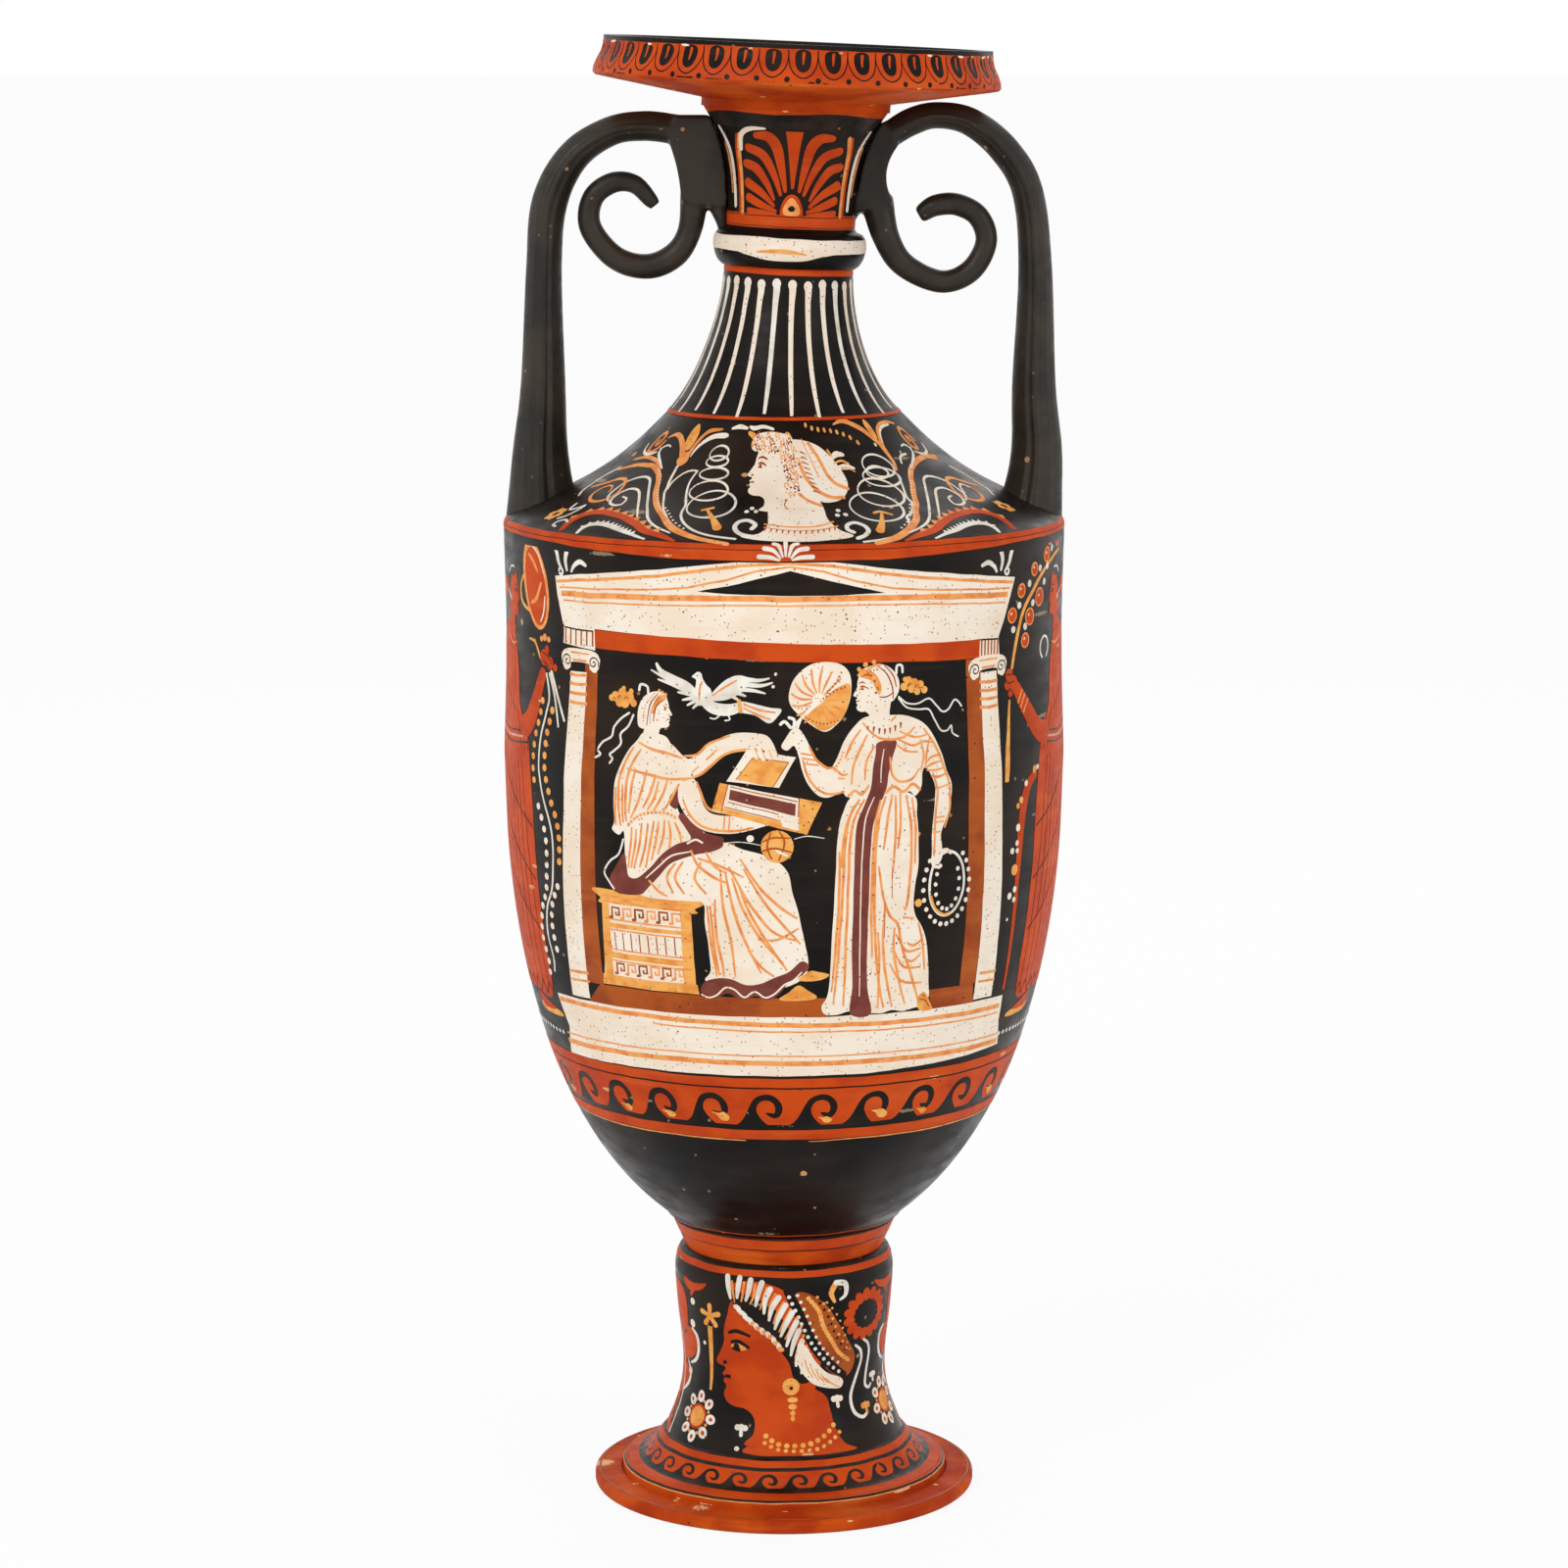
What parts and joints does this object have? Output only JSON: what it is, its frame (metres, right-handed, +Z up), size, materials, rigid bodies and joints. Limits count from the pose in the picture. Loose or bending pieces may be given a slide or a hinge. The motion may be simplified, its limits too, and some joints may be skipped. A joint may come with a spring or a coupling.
{
  "type": "neck amphora",
  "caption": "Tall ceramic neck amphora on a moulded foot and stem, with a wide dished mouth, a ringed neck and scrolled strap handles, painted in red, black and cream.",
  "frame": {"origin": "centre of the ring the foot stands on, at floor level", "axes": "+Z up along the axis of the foot and body, painted front towards -Y, handles towards -X and +X"},
  "size_m": [0.346, 0.346, 0.9051],
  "materials": {
    "glaze_black": "semi-gloss black slip glaze with brush streaks and small chips",
    "clay_red": "burnished orange-red fired clay, mottled and scuffed",
    "slip_cream": "matt cream slip paint, speckled and worn",
    "slip_gold": "matt yellow-orange slip paint",
    "slip_purple": "matt purple-brown slip paint"
  },
  "bodies": {
    "root": {"foot": "clay_red", "stem": "glaze_black", "pedestal": "clay_red", "body_bowl": "glaze_black", "body_belly": "glaze_black", "shoulder": "glaze_black", "neck": "glaze_black", "neck_ring": "slip_cream", "throat": "glaze_black", "mouth": "clay_red", "left_handle_strap": "glaze_black", "left_handle_lug": "glaze_black", "left_handle_volute": "glaze_black", "right_handle_strap": "glaze_black", "right_handle_lug": "glaze_black", "right_handle_volute": "glaze_black"}
  },
  "joints": []
}
